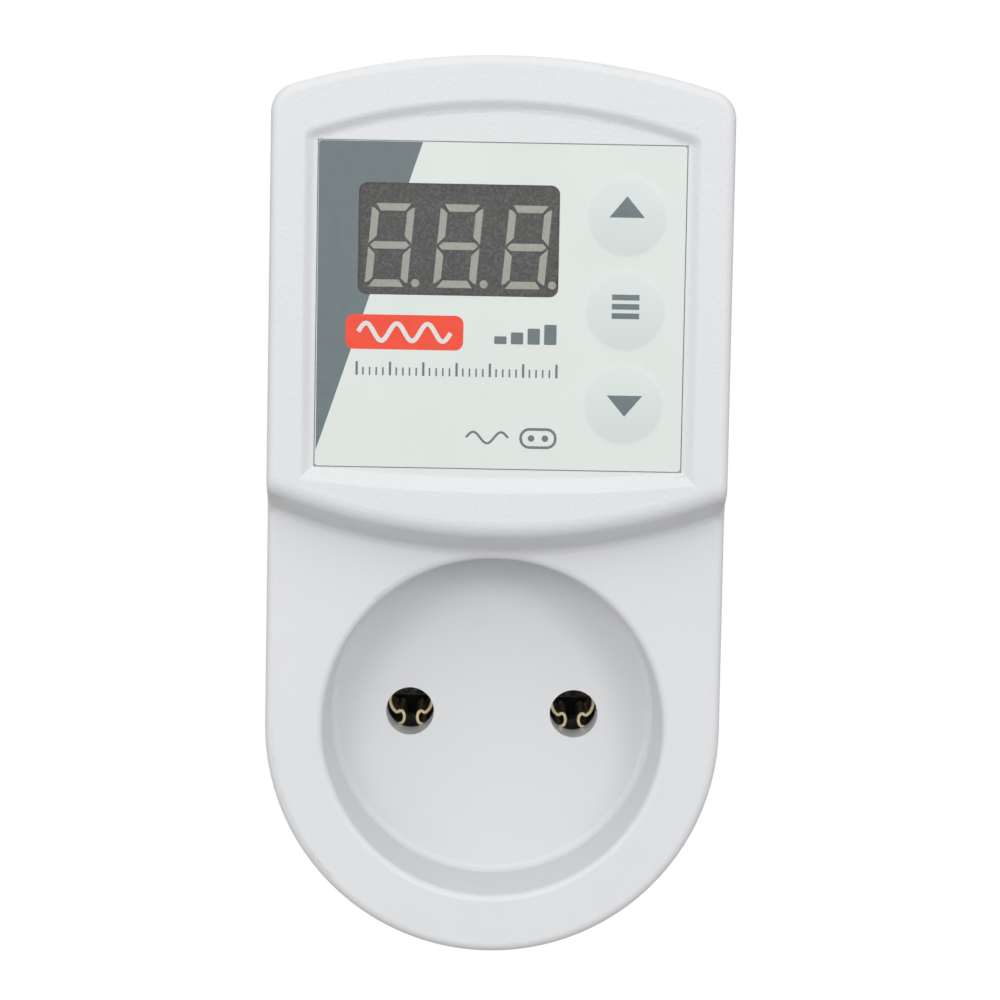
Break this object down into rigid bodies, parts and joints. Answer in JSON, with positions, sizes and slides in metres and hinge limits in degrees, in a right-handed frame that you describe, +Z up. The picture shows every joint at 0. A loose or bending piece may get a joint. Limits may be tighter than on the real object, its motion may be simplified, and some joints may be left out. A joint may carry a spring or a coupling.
{
  "type": "plug-in voltage relay",
  "caption": "Plug-in mains voltage relay with a digital display, three membrane keys and a recessed two-pin pass-through socket.",
  "frame": {"origin": "centre of the plug boss's end face, midway between the two pins", "axes": "+Y out of the plug's face along the pins, into the wall; +Z up; +X to the right as seen from the display"},
  "size_m": [0.0524, 0.076, 0.1021],
  "materials": {
    "casing": "white ABS, fine moulded texture",
    "film": "printed matt polyester film",
    "window": "clear uncoated part of the film",
    "display": "dark grey-brown display face",
    "segments": "milky light wells, unlit",
    "tin": "tinned wire",
    "board": "green fibreglass board",
    "black": "black moulded plastic",
    "plunger": "black nylon",
    "steel": "nickel-plated steel",
    "screw": "zinc-plated steel",
    "relay_case": "blue relay housing",
    "bobbin": "glass-filled nylon",
    "copper": "enamelled copper wire",
    "bronze": "bronze with silver contacts",
    "yellow": "moulded box capacitor",
    "blue": "epoxy-dipped disc",
    "resistor": "lacquered resistor",
    "pin_metal": "nickel-plated brass",
    "brass": "plain brass sheet",
    "insulator": "natural-coloured nylon",
    "wire": "PVC-insulated wire"
  },
  "bodies": {
    "casing": {"casing_screws": "screw", "clip_holder": "insulator", "clip_holder_screws": "screw", "component_leads": "tin", "display_board": "board", "display_board_screws": "screw", "display_module": "display", "display_pins": "tin", "display_segments": "segments", "film_capacitor": "yellow", "front_casing": "casing", "fusible_resistor": "resistor", "header_pins": "tin", "header_strips": "black", "key_down_switch": "black", "key_menu_switch": "black", "key_up_switch": "black", "live_clip": "brass", "live_in_wire": "wire", "live_out_wire": "wire", "live_pin": "pin_metal", "live_tab": "brass", "logic_capacitor": "black", "main_board": "board", "main_board_screws": "screw", "microcontroller": "black", "neutral_clip": "brass", "neutral_pin": "pin_metal", "neutral_strap": "brass", "neutral_wire": "wire", "overlay_film": "film", "overlay_window": "window", "pin_retainer": "insulator", "pin_retainer_screws": "screw", "rear_casing": "casing", "rectifier_diodes": "black", "relay_base": "relay_case", "relay_bobbin": "bobbin", "relay_core": "steel", "relay_cover": "relay_case", "relay_fixed_contact": "bronze", "relay_pins": "tin", "relay_winding": "copper", "relay_yoke": "steel", "resistors": "resistor", "supply_capacitor": "black", "switch_covers": "steel", "varistor": "blue", "voltage_regulator": "black"},
    "key_up": {"key_up_dome": "film", "key_up_plunger": "plunger"},
    "key_menu": {"key_menu_dome": "film", "key_menu_plunger": "plunger"},
    "key_down": {"key_down_dome": "film", "key_down_plunger": "plunger"},
    "armature": {"relay_armature": "steel", "relay_moving_contact": "bronze"}
  },
  "joints": [
    {"name": "key_up_press", "type": "slide", "parent": "casing", "child": "key_up", "axis": [0, 1, 0], "range_m": [0, 0.00025], "stiffness_N_per_m": 1500, "springref_m": -0.0003},
    {"name": "key_menu_press", "type": "slide", "parent": "casing", "child": "key_menu", "axis": [0, 1, 0], "range_m": [0, 0.00025], "stiffness_N_per_m": 1500, "springref_m": -0.0003},
    {"name": "key_down_press", "type": "slide", "parent": "casing", "child": "key_down", "axis": [0, 1, 0], "range_m": [0, 0.00025], "stiffness_N_per_m": 1500, "springref_m": -0.0003},
    {"name": "armature_rock", "type": "hinge", "parent": "casing", "child": "armature", "pos_m": [-0.01175, -0.03655, 0.0392], "axis": [-1, 0, 0], "range_deg": [0, 4], "stiffness_Nm_per_rad": 0.02, "springref_deg": -8.59}
  ]
}
